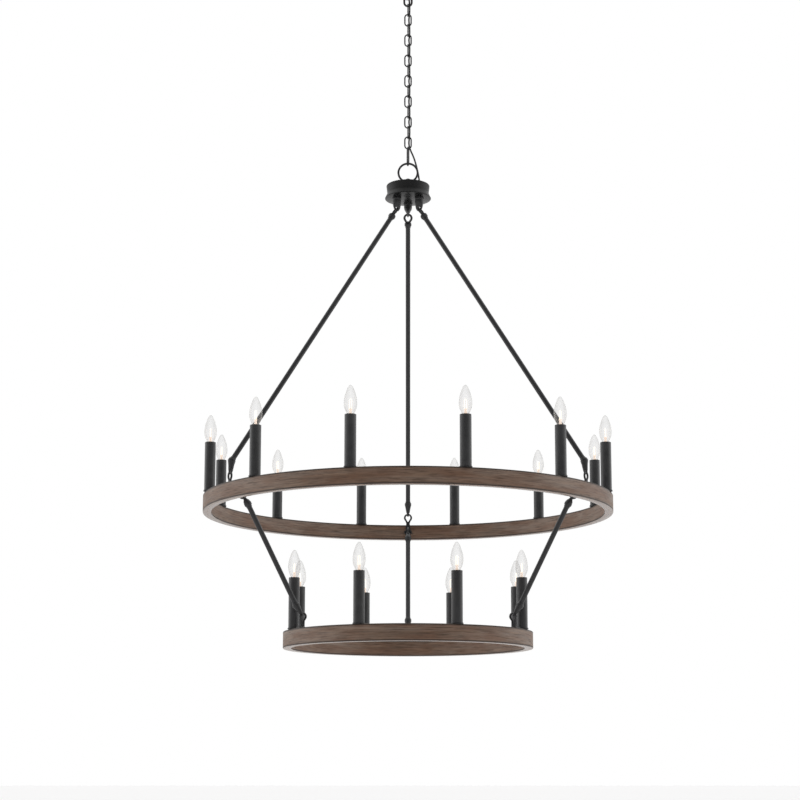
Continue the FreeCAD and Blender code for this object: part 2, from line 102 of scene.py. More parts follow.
def applyModifier(piece, kind, **settings):
    pick(piece)
    modifier = piece.modifiers.new(kind.title(), kind)
    for name, value in settings.items():
        setattr(modifier, name, value)
    bpy.ops.object.modifier_apply(modifier=modifier.name)
    return piece


def easeEdges(piece, width):
    return applyModifier(piece, "BEVEL", width=width, segments=3, limit_method="ANGLE",
                         angle_limit=math.radians(35), use_clamp_overlap=True)


def cutAway(piece, *cutters):
    for cutter in cutters:
        applyModifier(piece, "BOOLEAN", object=cutter, operation="DIFFERENCE", solver="EXACT")
    discard(*cutters)
    return piece


def selectPoints(piece, wanted):
    # in edit mode, by place
    bpy.ops.mesh.select_mode(type="VERT")
    bpy.ops.mesh.select_all(action="DESELECT")
    bpy.ops.object.mode_set(mode="OBJECT")
    for point in piece.data.vertices:
        point.select = bool(wanted(point.co))
    bpy.ops.object.mode_set(mode="EDIT")


def selectFaces(piece, wanted):
    # in edit mode, by centre and normal
    bpy.ops.mesh.select_mode(type="FACE")
    bpy.ops.mesh.select_all(action="DESELECT")
    bpy.ops.object.mode_set(mode="OBJECT")
    for face in piece.data.polygons:
        face.select = bool(wanted(face.center, face.normal))
    bpy.ops.object.mode_set(mode="EDIT")


def cleanShell(piece):
    # in edit mode: doubles merged, holes closed, normals out; leaves edit mode
    bpy.ops.mesh.select_mode(type="VERT")
    bpy.ops.mesh.select_all(action="SELECT")
    bpy.ops.mesh.remove_doubles(threshold=0.0005)
    bpy.ops.mesh.fill_holes(sides=0)
    bpy.ops.mesh.select_all(action="SELECT")
    bpy.ops.mesh.normals_make_consistent(inside=False)
    bpy.ops.object.mode_set(mode="OBJECT")
    return applyPlace(piece)


def roundCorners(piece, wanted, radius, segments):
    # bevels the edges whose two ends are wanted, and leaves a clean shell
    bpy.ops.object.mode_set(mode="EDIT")
    bpy.ops.mesh.select_mode(type="EDGE")
    bpy.ops.mesh.select_all(action="DESELECT")
    bpy.ops.object.mode_set(mode="OBJECT")
    points = piece.data.vertices
    for edge in piece.data.edges:
        edge.select = bool(wanted(*(points[end].co for end in edge.vertices)))
    bpy.ops.object.mode_set(mode="EDIT")
    bpy.ops.mesh.bevel(offset=radius, segments=segments, affect="EDGES")
    return cleanShell(piece)


def stackPiece(name, sections, sides=32):
    # a circle extruded and scaled from section to section, each given as half width, half depth and height
    sections = [(max(x, 0.0001), max(y, 0.0001), z) for x, y, z in sections]
    wide, deep, height = sections[0]
    bpy.ops.object.select_all(action="DESELECT")
    bpy.ops.mesh.primitive_circle_add(vertices=sides, radius=1, location=(0, 0, height))
    piece = bpy.context.object
    piece.name = name
    bpy.ops.object.mode_set(mode="EDIT")
    bpy.ops.mesh.select_all(action="SELECT")
    bpy.ops.transform.resize(value=(wide, deep, 1), center_override=(0, 0, height))
    for x, y, z in sections[1:]:
        bpy.ops.mesh.extrude_edges_move(TRANSFORM_OT_translate={"value": (0, 0, z - height)})
        bpy.ops.transform.resize(value=(x / wide, y / deep, 1), center_override=(0, 0, z))
        wide, deep, height = x, y, z
    return cleanShell(piece)


def turnPiece(name, outline, sides=32):
    # outline points are radius and height; one that ends where it starts makes a tube
    return stackPiece(name, [(radius, radius, z) for radius, z in outline], sides)


def cutter(radius, length, centre, along):
    bpy.ops.object.select_all(action="DESELECT")
    bpy.ops.mesh.primitive_cylinder_add(vertices=32, radius=radius, depth=length)
    return aim(bpy.context.object, centre, along, (0.1, 0.2, 1))


def boxPiece(name, size, centre):
    bpy.ops.object.select_all(action="DESELECT")
    bpy.ops.mesh.primitive_cube_add(size=1, location=centre)
    bpy.context.object.name = name
    bpy.context.object.scale = size
    return applyPlace(bpy.context.object)


def bendWire(name, wire, radius, sweep, runs, bends=10, wireSides=12):
    # a wire loop in the x-z plane round the origin: half of it is a circle at the foot of the bend, spun up
    # the +x side and run on straight, and the rest is its mirror image
    bpy.ops.object.select_all(action="DESELECT")
    bpy.ops.mesh.primitive_circle_add(vertices=wireSides, radius=wire, location=(0, 0, -radius),
                                      rotation=(0, math.pi / 2, 0))
    piece = bpy.context.object
    piece.name = name
    bpy.ops.object.mode_set(mode="EDIT")
    bpy.ops.mesh.select_all(action="SELECT")
    bpy.ops.mesh.spin(steps=bends, angle=math.radians(sweep), center=(0, 0, 0), axis=(0, 1, 0))
    for run in runs:
        bpy.ops.mesh.extrude_edges_move(TRANSFORM_OT_translate={"value": run})
    bpy.ops.object.mode_set(mode="OBJECT")
    applyPlace(piece)
    applyModifier(piece, "MIRROR", use_axis=(True, False, False), use_mirror_merge=True,
                  merge_threshold=0.001)
    bpy.ops.object.mode_set(mode="EDIT")
    return cleanShell(piece)


def settle(piece, body, finish, nodes=(), smooth=32):
    # to metres, then finish, body and the nodes it stands for
    pick(piece)
    piece.scale = (0.001, 0.001, 0.001)
    applyPlace(piece)
    bpy.ops.object.shade_smooth_by_angle(angle=math.radians(smooth))
    piece.data.materials.clear()
    piece.data.materials.append(finish["material"])
    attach(piece, body)
    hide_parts(*nodes)
    return piece


def hexColour(text):
    # sRGB hex to the linear values that a socket takes
    parts = [int(text[i:i + 2], 16) / 255 for i in (1, 3, 5)]
    return [c / 12.92 if c <= 0.04045 else ((c + 0.055) / 1.055) ** 2.4 for c in parts] + [1]


def addNode(tree, kind, settings=None, links=None):
    # settings are properties, socket values or a ramp's stops, and links lead from other nodes' outputs
    node = tree.nodes.new("ShaderNode" + kind)
    for name, value in (settings or {}).items():
        if name == "stops":
            node.color_ramp.elements[0].position, node.color_ramp.elements[0].color = value[0]
            node.color_ramp.elements[1].position, node.color_ramp.elements[1].color = value[-1]
            for place, colour in value[1:-1]:
                node.color_ramp.elements.new(place).color = colour
        elif isinstance(name, int) or name in node.inputs:
            node.inputs[name].default_value = value
        else:
            setattr(node, name, value)
    for name, source in (links or {}).items():
        tree.links.new(source, node.inputs[name])
    return node


def startMaterial(name):
    material = bpy.data.materials.new(name)
    material.use_nodes = True
    material.node_tree.nodes.clear()
    return material, material.node_tree


def perMetre(size):
    # a pattern's scale from the real size of its features in millimetres
    return 1000 / size


def makeCoated(name, slot, look):
    # smooth paint, plating or moulding: a fine ripple, and a gloss that clouds a little from place to place
    material, tree = startMaterial(name)
    place = addNode(tree, "TexCoord").outputs["Object"]
    cloud = addNode(tree, "TexNoise", {"Scale": perMetre(look["cloud"]), "Detail": 3}, {"Vector": place})
    ripple = addNode(tree, "TexNoise", {"Scale": perMetre(look["peel"]), "Detail": 2}, {"Vector": place})
    tone = addNode(tree, "ValToRGB",
                   {"stops": [(0.35, hexColour(look["dark"])), (0.7, hexColour(look["light"]))]},
                   {"Fac": cloud.outputs["Fac"]})
    smooth, dull = look["roughness"]
    gloss = addNode(tree, "MapRange", {"From Min": 0.3, "From Max": 0.7, "To Min": smooth, "To Max": dull},
                    {"Value": cloud.outputs["Fac"]})
    bump = addNode(tree, "Bump", {"Strength": look["bump"], "Distance": 0.0002},
                   {"Height": ripple.outputs["Fac"]})
    shader = addNode(tree, "BsdfPrincipled",
                     {"IOR": 1.5, "Metallic": look.get("metallic", 0),
                      "Specular IOR Level": look.get("shine", 0.5)},
                     {"Base Color": tone.outputs["Color"], "Roughness": gloss.outputs["Result"],
                      "Normal": bump.outputs["Normal"]})
    addNode(tree, "OutputMaterial", links={"Surface": shader.outputs["BSDF"]})
    return {"material": material, "slot": slot}


# Satin black powder coat on steel and cast zinc: soft wide highlights, no sharp reflections
satinBlack = makeCoated("satin black powder coat", "black_metal", {
    "dark": "#161618", "light": "#1d1d1f", "cloud": 45, "peel": 1.6, "roughness": (0.36, 0.46), "bump": 0.12})
# The sleeves are thin steel tube with the same coat, rubbed a little smoother, but painted a lighter grey
# than the coat: a painted highlight for the light the tubes catch
sleeveBlackPaintedLight = makeCoated("satin black coated tube", "candle_sleeve", {
    "dark": "#2a2a2b", "light": "#343435", "cloud": 30, "peel": 1.6, "roughness": (0.34, 0.42), "bump": 0.08})
# The hub's underside is gloss enamel: it mirrors the lugs and the room
glossBlack = makeCoated("gloss black enamel", "black_metal", {
    "dark": "#111112", "light": "#171718", "cloud": 40, "peel": 3, "roughness": (0.2, 0.28), "bump": 0.05,
    "shine": 0.22})
# Matt black coat on the hub's drum, nearly black with a faint wide sheen. Its colour is darker than the satin
# coat of the other parts: painted shade on the drum
mattBlackPaintedShade = makeCoated("matt black powder coat", "black_metal", {
    "dark": "#0d0d0e", "light": "#131314", "cloud": 45, "peel": 1.4, "roughness": (0.42, 0.52), "bump": 0.15,
    "shine": 0.3})
# Extruded PVC jacket: black, slightly glossy, very smooth
cordJacket = makeCoated("black PVC cord jacket", "cord_jacket", {
    "dark": "#141414", "light": "#1b1b1b", "cloud": 20, "peel": 2.4, "roughness": (0.34, 0.42), "bump": 0.06})
# Moulded nylon bushing: black with a dull moulded skin
mouldedNylon = makeCoated("moulded black nylon", "bushing_plastic", {
    "dark": "#171717", "light": "#1f1f1f", "cloud": 8, "peel": 0.9, "roughness": (0.45, 0.55), "bump": 0.1})
# Phenolic lamp socket: hard brown-black moulding with a soft gloss
phenolic = makeCoated("phenolic moulding", "socket_plastic", {
    "dark": "#191512", "light": "#221c17", "cloud": 12, "peel": 1.5, "roughness": (0.3, 0.4), "bump": 0.06})
# Bright zinc plating on pressed steel: pale grey metal with a cloudy crystal finish
zincSteel = makeCoated("zinc plated steel", "zinc_steel", {
    "dark": "#9a9ca0", "light": "#b9bbbd", "cloud": 6, "peel": 0.8, "roughness": (0.28, 0.42), "bump": 0.05,
    "metallic": 1})
# Green dyed screw steel, as every ground screw has
greenSteel = makeCoated("green dyed screw steel", "green_steel", {
    "dark": "#1d5a32", "light": "#2a7443", "cloud": 5, "peel": 0.7, "roughness": (0.3, 0.4), "bump": 0.05,
    "metallic": 0.4})
# Drawn brass of a lamp cap: warm yellow metal, slightly dulled
brass = makeCoated("drawn brass", "bulb_cap", {
    "dark": "#b08d4c", "light": "#cfae6b", "cloud": 5, "peel": 0.8, "roughness": (0.22, 0.34), "bump": 0.05,
    "metallic": 1})


def makeWood(name, ring, look):
    # stained and weathered ash bent round a hoop: long streaks along it, open pores, worn grey lights, a
    # painted highlight on the hoop's two sides as the viewer sees them, and dark edges
    material, tree = startMaterial(name)
    coordinates = addNode(tree, "TexCoord")
    flat = addNode(tree, "VectorMath", {"operation": "MULTIPLY", 1: (1, 1, 0)},
                   {0: coordinates.outputs["Object"]})
    around = addNode(tree, "VectorMath", {"operation": "NORMALIZE"}, {0: flat.outputs["Vector"]})
    reach = addNode(tree, "VectorMath", {"operation": "LENGTH"}, {0: flat.outputs["Vector"]})
    height = addNode(tree, "SeparateXYZ", links={"Vector": coordinates.outputs["Object"]})

    def grain(size, detail):
        # a noise stretched along the hoop, without a seam, and as deep into the wood as it is thick
        length, thickness = size
        spread = addNode(tree, "VectorMath", {"operation": "SCALE", "Scale": ring["radius"] / length},
                         {0: around.outputs["Vector"]})
        rise = addNode(tree, "Math", {"operation": "MULTIPLY", 1: perMetre(thickness)},
                       {0: height.outputs["Z"]})
        lift = addNode(tree, "CombineXYZ", links={"Z": rise.outputs["Value"]})
        where = addNode(tree, "VectorMath", {"operation": "ADD"},
                        {0: spread.outputs["Vector"], 1: lift.outputs["Vector"]})
        depth = addNode(tree, "Math", {"operation": "MULTIPLY", 1: perMetre(thickness)},
                        {0: reach.outputs["Value"]})
        noise = addNode(tree, "TexNoise",
                        {"noise_dimensions": "4D", "Scale": 1, "Detail": detail, "Roughness": 0.6},
                        {"Vector": where.outputs["Vector"], "W": depth.outputs["Value"]})
        return noise.outputs["Fac"]

    streaks, pores = grain(look["streak"], 4), grain(look["pore"], 2)
    patches, clouds = grain(look["patch"], 2), grain(look["stain"], 2)
    tone = addNode(tree, "ValToRGB",
                   {"stops": [(place, hexColour(colour)) for place, colour in look["tones"]]},
                   {"Fac": streaks})
    # worn grey patches, and a painted highlight that makes the hoop's two sides, left and right of the
    # viewer, paler than its front and back
    low, high = look["wornSpan"]
    worn = addNode(tree, "ValToRGB", {"stops": [(low, hexColour("#000000")), (high, hexColour("#ffffff"))]},
                   {"Fac": patches})
    across = addNode(tree, "SeparateXYZ", links={"Vector": around.outputs["Vector"]})
    sideOnToViewer = addNode(tree, "Math", {"operation": "ABSOLUTE"}, {0: across.outputs["X"]})
    # painted highlight: the hoop turns paler where it runs side-on to the viewer, light painted into its
    # colour
    low, high = look["paintedPaleSpan"]
    paintedPale = addNode(tree, "MapRange",
                     {"From Min": low, "From Max": high, "To Min": 0, "To Max": look["paintedPale"]},
                     {"Value": sideOnToViewer.outputs["Value"]})
    # the worn grey colour is laid on by both the real worn patches and the painted highlight on the sides
    wearAndPaintedPaleShare = addNode(tree, "Math", {"operation": "MULTIPLY_ADD", 1: look["wornShare"]},
                    {0: worn.outputs["Color"], 2: paintedPale.outputs["Result"]})
    wornAndPaintedPaleTone = addNode(tree, "Mix", {"data_type": "RGBA", "blend_type": "MIX", 7: hexColour(look["worn"])},
                     {"Factor": wearAndPaintedPaleShare.outputs["Value"], 6: tone.outputs["Color"]})
    # the stain has soaked in unevenly, in warm brown clouds
    low, high = look["warmSpan"]
    soaked = addNode(tree, "MapRange",
                     {"From Min": low, "From Max": high, "To Min": 0, "To Max": look["warmShare"]},
                     {"Value": clouds})
    stained = addNode(tree, "Mix", {"data_type": "RGBA", "blend_type": "MIX", 7: hexColour(look["warm"])},
                      {"Factor": soaked.outputs["Result"], 6: wornAndPaintedPaleTone.outputs[2]})
    low, high = look["poreSpan"]
    pitted = addNode(tree, "ValToRGB",
                     {"stops": [(low, hexColour(look["poreTone"])), (high, hexColour("#ffffff"))]},
                     {"Fac": pores})
    pored = addNode(tree, "Mix", {"data_type": "RGBA", "blend_type": "MULTIPLY", "Factor": 1},
                    {6: stained.outputs[2], 7: pitted.outputs["Color"]})
    # the upright faces are darkened nearly black along their arrises, a few millimetres wide
    middle = addNode(tree, "Math", {"operation": "SUBTRACT", 1: ring["middle"] / 1000},
                     {0: height.outputs["Z"]})
    away = addNode(tree, "Math", {"operation": "ABSOLUTE"}, {0: middle.outputs["Value"]})
    begin, full = [(ring["height"] / 2 - width) / 1000 for width in look["edgeWidths"]]
    edge = addNode(tree, "MapRange", {"From Min": begin, "From Max": full, "To Min": 0, "To Max": 1},
                   {"Value": away.outputs["Value"]})
    upright = addNode(tree, "SeparateXYZ", links={"Vector": coordinates.outputs["Normal"]})
    level = addNode(tree, "Math", {"operation": "ABSOLUTE"}, {0: upright.outputs["Z"]})
    side = addNode(tree, "MapRange",
                   {"From Min": 0.8, "From Max": 0.95, "To Min": look["edgeShare"], "To Max": 0},
                   {"Value": level.outputs["Value"]})
    dark = addNode(tree, "Math", {"operation": "MULTIPLY"},
                   {0: edge.outputs["Result"], 1: side.outputs["Result"]})
    edged = addNode(tree, "Mix", {"data_type": "RGBA", "blend_type": "MIX", 7: hexColour(look["edge"])},
                    {"Factor": dark.outputs["Value"], 6: pored.outputs[2]})
    # the flat faces above and below were sanded smooth before the lacquer
    smooth, dull = look["roughness"]
    rough = addNode(tree, "MapRange", {"From Min": 0.3, "From Max": 0.7, "To Min": smooth, "To Max": dull},
                    {"Value": streaks})
    sanded = addNode(tree, "MapRange",
                     {"From Min": 0.5, "From Max": 0.9, "To Min": 1, "To Max": look["sanded"]},
                     {"Value": level.outputs["Value"]})
    satin = addNode(tree, "Math", {"operation": "MULTIPLY"},
                    {0: rough.outputs["Result"], 1: sanded.outputs["Result"]})
    bump = addNode(tree, "Bump", {"Strength": 0.22, "Distance": look["poreDepth"] / 1000}, {"Height": pores})
    relief = addNode(tree, "Bump", {"Strength": 0.3, "Distance": look["streakDepth"] / 1000},
                     {"Height": streaks, "Normal": bump.outputs["Normal"]})
    shader = addNode(tree, "BsdfPrincipled", {"IOR": 1.45},
                     {"Base Color": edged.outputs[2], "Roughness": satin.outputs["Value"],
                      "Normal": relief.outputs["Normal"]})
    addNode(tree, "OutputMaterial", links={"Surface": shader.outputs["BSDF"]})
    return {"material": material, "slot": "wood_rings"}


# Ring-porous ash, with the length and thickness of each feature. Real pores are 0.3 mm wide; they are drawn
# 1.4 mm thick so that they show at this distance
woodLook = {
    "streak": (130, 3.2), "pore": (40, 1.4), "patch": (240, 18), "stain": (110, 22),
    "tones": [(0.3, "#523f33"), (0.45, "#685242"), (0.58, "#7a614e"), (0.72, "#8c7461")],
    # the pale share and its span, after wornShare, set the painted highlight on the hoop's sides; the worn
    # colour serves both the worn patches and that highlight
    "worn": "#94857a", "wornSpan": (0.42, 0.72), "wornShare": 0.4, "paintedPale": 0.3, "paintedPaleSpan": (0.22, 0.6),
    "warm": "#6b4a35", "warmSpan": (0.4, 0.62), "warmShare": 0.6,
    "poreTone": "#aaa198", "poreSpan": (0.34, 0.5),
    "edge": "#2b231e", "edgeWidths": (4.6, 2.2), "edgeShare": 0.9, "roughness": (0.5, 0.66), "sanded": 0.45,
    "poreDepth": 0.4, "streakDepth": 0.6}


def makeGlass(look):
    # clear blown glass under a millimetre thick, which hardly bends light: water-clear face-on, greyer and
    # shinier towards its rims, with the faint waves of blowing
    material, tree = startMaterial("clear blown glass")
    place = addNode(tree, "TexCoord").outputs["Object"]
    wave = addNode(tree, "TexNoise", {"Scale": perMetre(look["wave"]), "Detail": 1}, {"Vector": place})
    bump = addNode(tree, "Bump", {"Strength": 0.04, "Distance": 0.0004}, {"Height": wave.outputs["Fac"]})
    rim = addNode(tree, "LayerWeight", {"Blend": look["blend"]})
    skin = addNode(tree, "MapRange",
                   {"From Min": 0, "From Max": 1, "To Min": look["clear"], "To Max": look["rim"]},
                   {"Value": rim.outputs["Facing"]})
    tone = addNode(tree, "ValToRGB",
                   {"stops": [(0.35, hexColour(look["dark"])), (0.65, hexColour(look["light"]))]},
                   {"Fac": wave.outputs["Fac"]})
    shader = addNode(tree, "BsdfPrincipled", {"Roughness": 0.12, "IOR": 1.5},
                     {"Base Color": tone.outputs["Color"], "Alpha": skin.outputs["Result"],
                      "Normal": bump.outputs["Normal"]})
    addNode(tree, "OutputMaterial", links={"Surface": shader.outputs["BSDF"]})
    return {"material": material, "slot": "bulb_glass"}


def makeGlow(name, look):
    # lit from within at a dimmed warm glow: hottest in its middle, cooler and redder away from it. On the
    # filament this is the lamp's own light; on the glass mount, which is no lamp, it is painted glow
    material, tree = startMaterial(name)
    place = addNode(tree, "TexCoord").outputs["Object"]
    cloud = addNode(tree, "TexNoise", {"Scale": perMetre(look["cloud"]), "Detail": 1}, {"Vector": place})
    glow = addNode(tree, "ValToRGB",
                   {"stops": [(0.3, hexColour(look["cool"])), (0.7, hexColour(look["hot"]))]},
                   {"Fac": cloud.outputs["Fac"]})
    shader = addNode(tree, "BsdfPrincipled", {"Roughness": 0.5, "Emission Strength": look["strength"]},
                     {"Base Color": glow.outputs["Color"], "Emission Color": glow.outputs["Color"]})
    addNode(tree, "OutputMaterial", links={"Surface": shader.outputs["BSDF"]})
    return {"material": material, "slot": "bulb_glass"}


clearGlass = makeGlass({"wave": 11, "blend": 0.4, "clear": 0.09, "rim": 0.5, "dark": "#a8a6a3",
                        "light": "#cbc8c4"})
# Coiled tungsten, drawn thicker than the real 0.1 mm wire so that its glow shows
tungsten = makeGlow("glowing tungsten", {"cloud": 2.5, "cool": "#ffe6c8", "hot": "#fff5e4", "strength": 1.0})
# The pressed glass mount that carries it is no lamp: its glow is painted, the filament's light painted into
# it as emission
mountPaintedGlow = makeGlow("pressed glass mount", {"cloud": 6, "cool": "#f0d8c6", "hot": "#f6e6d8",
                                             "strength": 0.55})
print("materials made")

# Camera first: below the lower ring and tilted up, which comes near to the photograph's lines
view = {"eye": (0, -4.6, -2.118), "pitch": 9.197, "lens": 79.92, "sensor": 36, "shift": (-0.01, 0.095)}
bpy.ops.object.camera_add(location=view["eye"], rotation=(math.radians(90 + view["pitch"]), 0, 0))
camera = bpy.context.object
camera.data.lens = view["lens"]
camera.data.sensor_width = view["sensor"]
camera.data.shift_x, camera.data.shift_y = view["shift"]
bpy.context.scene.camera = camera

# The chain, and the supply cord in it: up from the hub, from side to side through every face-on link, into
# the canopy's loop
chainSizes = {"wire": 1.9, "bend": 8.6, "inside": 29.5, "longInside": 47.2, "pitch": 29.2, "top": -61.9,
              "count": 14, "weld": 0.22, "weldLength": 1.4, "longTurn": 103}
cordSizes = {"radius": 2.3, "beside": 4.6, "crossing": 1.8, "side": 5.9, "hole": (31, 6.5)}


def linkMiddle(number, inside):
    # height of a link's middle, with the links counted from the top
    sizes = chainSizes
    return sizes["top"] - 2 * sizes["wire"] - inside / 2 - number * sizes["pitch"]


def cordRoutes():
    beside, crossing, side, hole = (cordSizes[key] for key in ("beside", "crossing", "side", "hole"))
    fromHub = [(*hole, -577), (*hole, -560), (18.5, hole[1], -505)]
    weave, step = [], chainSizes["pitch"] / 2
    for number in range(chainSizes["count"] - 1, 0, -2):
        middle = linkMiddle(number, chainSizes["inside"])
        weave += [(beside, side, middle - step), (crossing, 0, middle), (beside, -side, middle + step)]
        side = -side
    toCanopy = [(beside, side, -66.2), (beside * 0.6, side * 0.2, -48.2), (0, 0, -38.2), (0, 0, -22)]
    low = tuple((a + b) / 2 for a, b in zip(weave[0], fromHub[-1]))
    high = tuple((a + b) / 2 for a, b in zip(weave[-1], toCanopy[0]))
    return {"cordAtHub": fromHub + [low], "cordInChain": [low] + weave + [high],
            "cordAtCanopy": [high] + toCanopy}


def cordPiece(name, points, radius):
    curve = bpy.data.curves.new(name, "CURVE")
    curve.dimensions = "3D"
    curve.bevel_depth = radius / 1000
    curve.bevel_resolution = 4
    curve.resolution_u = 10
    curve.use_fill_caps = True
    spline = curve.splines.new("NURBS")
    spline.points.add(len(points) - 1)
    for point, place in zip(spline.points, points):
        point.co = [c / 1000 for c in place] + [1]
    spline.order_u = 3
    spline.use_endpoint_u = True
    piece = bpy.data.objects.new(name, curve)
    bpy.context.collection.objects.link(piece)
    pick(piece)
    bpy.ops.object.convert(target="MESH")
    piece = bpy.context.object
    bpy.ops.object.shade_smooth_by_angle(angle=math.radians(40))
    piece.data.materials.append(cordJacket["material"])
    return piece


cords = {name: cordPiece(name, points, cordSizes["radius"]) for name, points in cordRoutes().items()}
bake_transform(cords["cordAtCanopy"])
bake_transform(cords["cordAtHub"])
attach(cords["cordInChain"], "chain")
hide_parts("cord_at_canopy")
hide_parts("cord_in_chain")
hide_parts("cord_at_hub")
print("camera and cord placed")

# Ceiling fitting. The crossbar and its lock nut keep their exact shapes
for node in ("ceiling_crossbar", "lock_nut"):
    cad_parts[node].material_slots[0].material = zincSteel["material"]


def thread(radius, depth, pitch, top, foot):
    # outline points of ridges from foot up to top
    count = int((top - foot) / pitch)
    return [(radius - depth * (k % 2), foot + (top - foot) * k / (2 * count)) for k in range(2 * count + 1)]


nippleSizes = {"radius": 4.9, "bore": 3.4, "length": 27}
s = nippleSizes
outline = [(s["bore"], -s["length"])] + thread(s["radius"], 0.45, 0.95, 0, -s["length"])
settle(turnPiece("threadedNipple", outline + [(s["bore"], 0), outline[0]], 24), "ceiling_mount", zincSteel,
       ["threaded_nipple"])

groundSizes = {"x": -18, "head": 4.2, "under": -2.5, "foot": -4.5, "shank": 2.1}
s = groundSizes
head = turnPiece("groundScrew", [(0, s["foot"]), (s["head"] * 0.8, s["foot"]), (s["head"], s["foot"] + 0.5),
                                 (s["head"], s["under"]), (0, s["under"])], 6)
cutAway(head, boxPiece("slot", (12, 0.9, 1.8), (0, 0, s["foot"])))
inHead = s["under"] - 0.5
shank = turnPiece("shank", [(0, inHead)] + thread(s["shank"], 0.3, 0.8, 0, inHead) + [(0, 0)], 16)
groundScrew = putAt(join("groundScrew", [head, shank]), (s["x"], 0, 0))
settle(groundScrew, "ceiling_mount", greenSteel, ["ground_screw"])

canopySizes = {"wall": 1.1, "outer": [
    (65, 0), (65, -3), (64.4, -5.4), (62.6, -10.4), (59.6, -15.8), (54.6, -21.4), (48, -25.6), (42, -28),
    (36, -28.9), (30, -29), (13.7, -29)]}
s = canopySizes
wall, rim, hole = s["wall"], s["outer"][0][0], s["outer"][-1]
inner = [(radius - wall, z + wall) for radius, z in reversed(s["outer"][2:-1])]
shell = s["outer"] + [(hole[0], hole[1] + wall)] + inner + [(rim - wall, 0), (rim, 0)]
settle(turnPiece("ceilingCanopy", shell, 96), "canopy_cover", satinBlack, ["ceiling_canopy"])

collar = turnPiece("canopyCollar", [
    (13.7, -29), (17.6, -29), (18.7, -30.1), (18.7, -31.3), (18.1, -31.7), (18.1, -33.3), (18.7, -33.7),
    (18.7, -34.9), (17.6, -36), (13.7, -36), (13.7, -29)], 64)
settle(collar, "canopy_cover", satinBlack, ["canopy_collar"])

loopSizes = {"body": 13.5, "top": -24, "foot": -46, "throat": 6.5, "throatTop": -35, "bore": 3.4, "socket": 5,
             "socketFoot": -27.2, "wire": 2.75, "bend": 10.25, "bendZ": -58.5}
s = loopSizes
outline = [(s["bore"], s["throatTop"]), (s["throat"], s["throatTop"]), (s["throat"], s["foot"]),
           (s["body"] - 1, s["foot"]), (s["body"], s["foot"] + 1), (s["body"], s["foot"] + 2)]
outline += thread(s["body"] - 0.1, 0.5, 1.4, s["top"] - 0.6, s["foot"] + 2.4)
outline += [(s["body"] - 0.6, s["top"]), (s["socket"], s["top"]), (s["socket"], s["socketFoot"]),
            (s["bore"], s["socketFoot"])]
body = turnPiece("canopyLoop", outline + outline[:1], 48)
legs = s["foot"] + 1.5 - s["bendZ"]
wireLoop = bendWire("wire", s["wire"], s["bend"], 90, [(0, 0, legs)], wireSides=16)
putAt(wireLoop, (0, 0, s["bendZ"]))
settle(join("canopyLoop", [body, wireLoop]), "ceiling_mount", satinBlack, ["canopy_loop"])
print("ceiling fitting done")

# Chain: each link is half a ring of wire with legs pulled down, mirrored, with a weld in one leg
def chainLink(name, inside):
    s = chainSizes
    leg = inside / 2 + s["wire"] - s["bend"]
    bpy.ops.object.select_all(action="DESELECT")
    bpy.ops.mesh.primitive_torus_add(major_segments=24, minor_segments=12, major_radius=s["bend"],
                                     minor_radius=s["wire"], rotation=(math.pi / 2, 0, 0))
    link = bpy.context.object
    link.name = name
    applyPlace(link)
    bpy.ops.object.mode_set(mode="EDIT")
    bpy.ops.mesh.select_all(action="SELECT")
    bpy.ops.mesh.bisect(plane_co=(0, 0, 0), plane_no=(0, 0, 1), clear_inner=True)
    bpy.ops.mesh.select_all(action="SELECT")
    bpy.ops.transform.translate(value=(0, 0, leg))
    selectPoints(link, lambda place: abs(place.z - leg) < 0.001)
    half = s["weldLength"] / 2
    for rise in (s["weldLength"] - leg, -half, -half):
        bpy.ops.mesh.extrude_edges_move(TRANSFORM_OT_translate={"value": (0, 0, rise)})
    bpy.ops.object.mode_set(mode="OBJECT")
    applyModifier(link, "MIRROR", use_axis=(False, False, True), use_mirror_merge=True,
                  merge_threshold=0.001)
    bpy.ops.object.mode_set(mode="EDIT")
    selectPoints(link, lambda place: abs(place.z) < 0.8 and place.x > 0)
    bpy.ops.transform.shrink_fatten(value=s["weld"])
    return cleanShell(link)


s = chainSizes
link = chainLink("linkMaster", s["inside"])
links = []
for number in range(s["count"]):
    turn = 90 if number % 2 == 0 else 180 * (number % 4 == 1)
    links.append(duplicate(link, f"link{number}", (0, 0, linkMiddle(number, s["inside"])), turn))
longMaster = chainLink("longMaster", s["longInside"])
longLink = duplicate(longMaster, "longLink", (0, 0, linkMiddle(s["count"], s["longInside"])), s["longTurn"])
settle(links[0], "chain", satinBlack, ["top_link"]).name = "topLink"
settle(join("chainLinks", links[1:]), "chain", satinBlack, ["chain_links"])
settle(longLink, "chain", satinBlack, ["long_link"])
discard(link, longMaster)
print("chain done")

# Hanger ring and hub
hangerSizes = {"centre": -544.4, "radius": 25.8, "wire": 2.8, "butt": 0.35}
s = hangerSizes
bpy.ops.object.select_all(action="DESELECT")
bpy.ops.mesh.primitive_torus_add(major_segments=72, minor_segments=16, major_radius=s["radius"],
                                 minor_radius=s["wire"], rotation=(math.pi / 2, 0, 0),
                                 location=(0, 0, s["centre"]))
hangerRing = applyPlace(bpy.context.object)
hangerRing.name = "hangerRing"
bpy.ops.object.mode_set(mode="EDIT")
selectPoints(hangerRing, lambda place: abs(place.x) < 0.5 and place.z < s["centre"])
bpy.ops.transform.shrink_fatten(value=-s["butt"])  # where the ring's two ends butt, inside the boss
bpy.ops.object.mode_set(mode="OBJECT")
settle(hangerRing, "fixture", satinBlack, ["hanger_ring"])

boss = turnPiece("ringBoss", [
    (0, -561), (2.6, -561.2), (4.9, -562), (6.6, -563.5), (7.4, -565.6), (7.5, -568), (7.5, -578.6),
    (7.9, -579.8), (8.8, -580.5), (8.8, -581), (0, -581)], 40)
cutAway(boss, cutter(3.9, 40, (0, 0, -570.2), (1, 0, 0)))
settle(boss, "fixture", satinBlack, ["ring_boss"])

